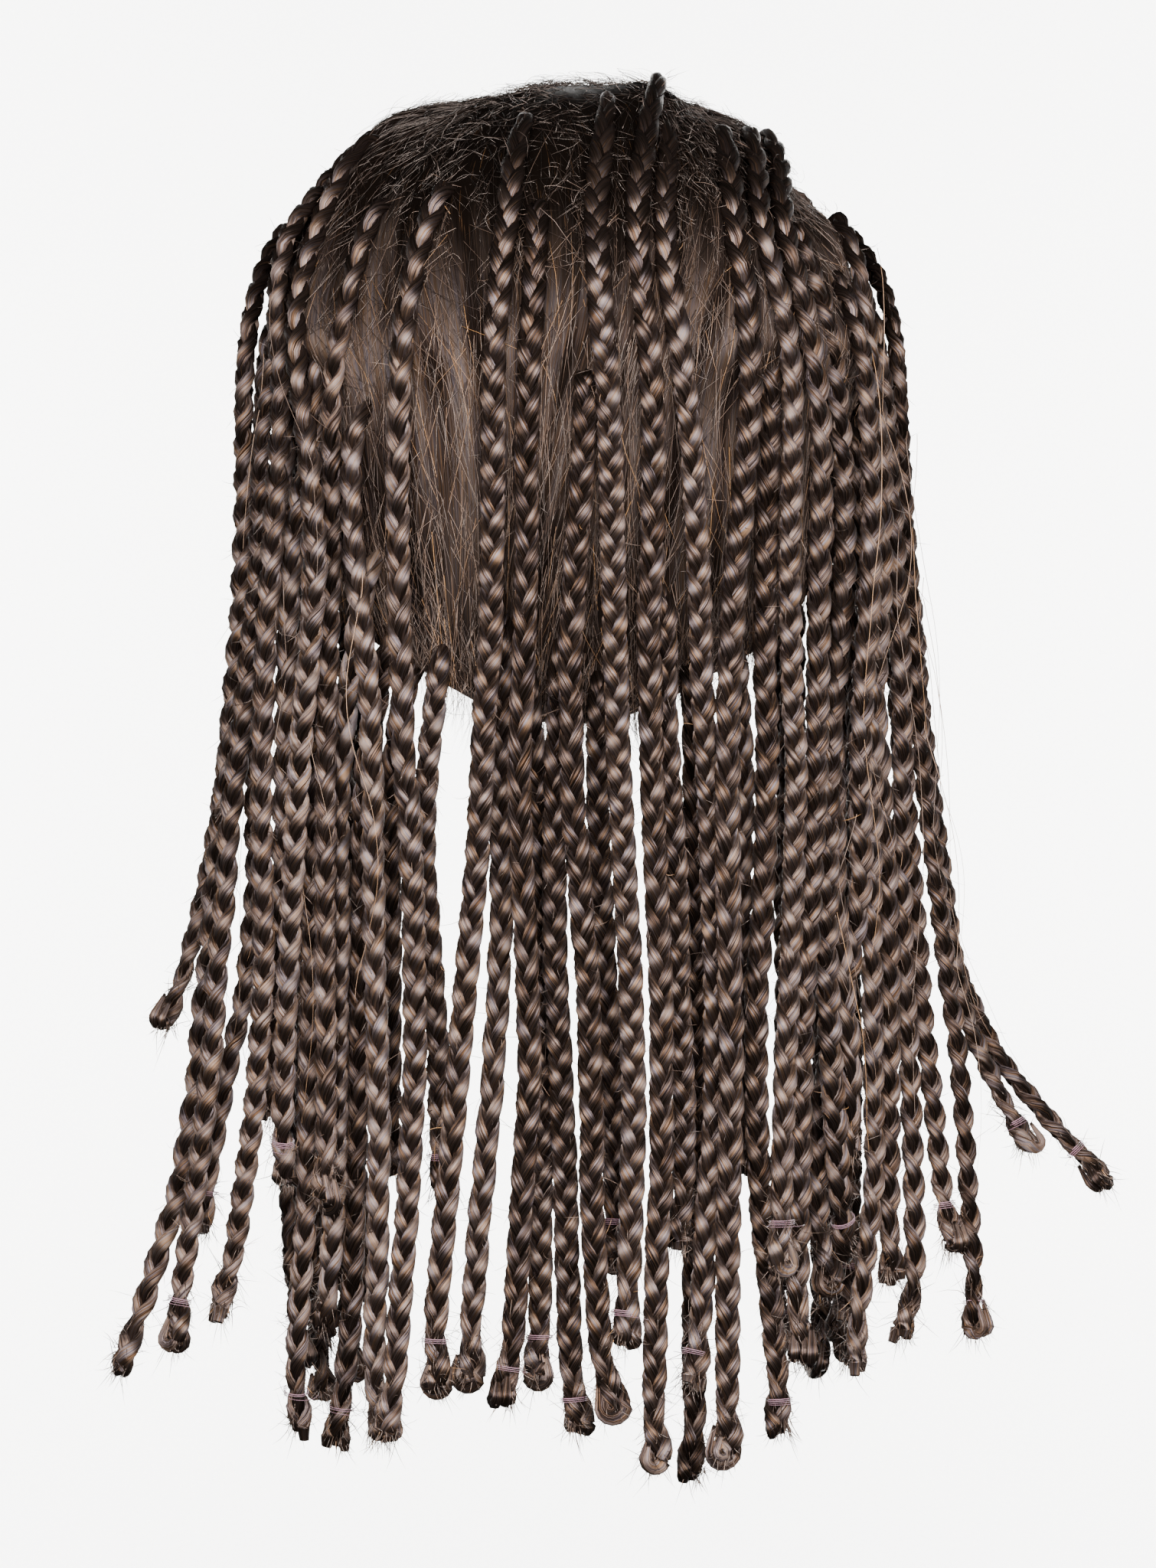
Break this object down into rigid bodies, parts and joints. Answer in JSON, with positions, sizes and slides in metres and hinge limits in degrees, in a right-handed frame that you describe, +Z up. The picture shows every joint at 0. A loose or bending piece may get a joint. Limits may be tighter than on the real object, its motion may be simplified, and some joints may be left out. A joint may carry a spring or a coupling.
{
  "type": "braid wig",
  "caption": "Long box-braid wig in its worn form: a hollow net cap with combed base hair and separate three-strand braids with bound, folded ends.",
  "frame": {"origin": "inside of the crown, where the wig sits on the head", "axes": "+Z up, the wearer faces +Y, and the back of the wig faces -Y"},
  "size_m": [0.3084, 0.2153, 0.4241],
  "materials": {
    "cap_net": "black stretch net",
    "combed_hair": "dark brown combed hair fibre, softly glossy",
    "braid_hair": "dark brown plaited synthetic hair with a pinkish sheen and mauve thread at the ends"
  },
  "bodies": {
    "root": {"cap": "cap_net", "base_hair": "combed_hair", "braid_back_01": "braid_hair", "braid_back_02": "braid_hair", "braid_back_03": "braid_hair", "braid_back_04": "braid_hair", "braid_back_05": "braid_hair", "braid_back_06": "braid_hair", "braid_back_07": "braid_hair", "braid_back_08": "braid_hair", "braid_back_09": "braid_hair", "braid_back_10": "braid_hair", "braid_back_11": "braid_hair", "braid_back_12": "braid_hair", "braid_left_01": "braid_hair", "braid_left_02": "braid_hair", "braid_left_03": "braid_hair", "braid_left_04": "braid_hair", "braid_left_05": "braid_hair", "braid_left_06": "braid_hair", "braid_left_07": "braid_hair", "braid_left_08": "braid_hair", "braid_left_09": "braid_hair", "braid_left_10": "braid_hair", "braid_right_01": "braid_hair", "braid_right_02": "braid_hair", "braid_right_03": "braid_hair", "braid_right_04": "braid_hair", "braid_right_05": "braid_hair", "braid_right_06": "braid_hair", "braid_right_07": "braid_hair", "braid_right_08": "braid_hair", "braid_right_09": "braid_hair", "braid_nape_01": "braid_hair", "braid_nape_02": "braid_hair", "braid_nape_03": "braid_hair", "braid_nape_04": "braid_hair", "braid_nape_05": "braid_hair", "braid_nape_06": "braid_hair", "braid_nape_07": "braid_hair", "braid_nape_08": "braid_hair", "braid_nape_09": "braid_hair", "braid_nape_10": "braid_hair", "braid_nape_11": "braid_hair", "braid_front_left_01": "braid_hair", "braid_front_left_02": "braid_hair", "braid_front_left_03": "braid_hair", "braid_front_left_04": "braid_hair", "braid_front_left_05": "braid_hair", "braid_front_left_06": "braid_hair", "braid_front_left_07": "braid_hair", "braid_front_right_01": "braid_hair", "braid_front_right_02": "braid_hair", "braid_front_right_03": "braid_hair", "braid_front_right_04": "braid_hair", "braid_front_right_05": "braid_hair", "braid_front_right_06": "braid_hair", "braid_front_right_07": "braid_hair"}
  },
  "joints": []
}
